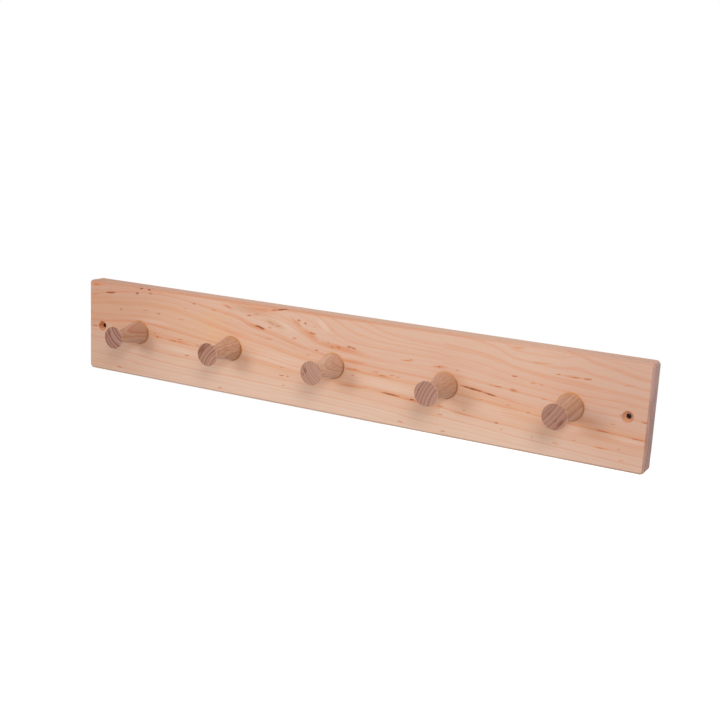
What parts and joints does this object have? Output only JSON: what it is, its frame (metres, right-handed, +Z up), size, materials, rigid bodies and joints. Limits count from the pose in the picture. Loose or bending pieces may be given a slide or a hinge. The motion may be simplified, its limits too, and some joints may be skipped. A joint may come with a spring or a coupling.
{
  "type": "peg rail",
  "caption": "Wall-hung wooden peg rail in the Shaker manner: a flat bevelled board with a row of turned tapered pegs and a countersunk screw hole near each end.",
  "frame": {"origin": "centre of the board's back face, where it meets the wall", "axes": "+X along the board to the right as seen from the front, +Y into the wall, +Z up; the pegs stand out towards -Y"},
  "size_m": [0.6, 0.058, 0.095],
  "materials": {
    "board_wood": "planed and sanded pale hardwood with orange-brown streaks, oiled matt",
    "peg_wood": "turned and sanded ring-porous hardwood, bare and matt",
    "dried_glue": "dried amber wood glue, slightly glossy"
  },
  "bodies": {
    "root": {"rail_board": "board_wood", "peg_1": "peg_wood", "peg_2": "peg_wood", "peg_3": "peg_wood", "peg_4": "peg_wood", "peg_5": "peg_wood", "glue_bead_1": "dried_glue", "glue_bead_2": "dried_glue", "glue_bead_3": "dried_glue", "glue_bead_4": "dried_glue", "glue_bead_5": "dried_glue"}
  },
  "joints": []
}
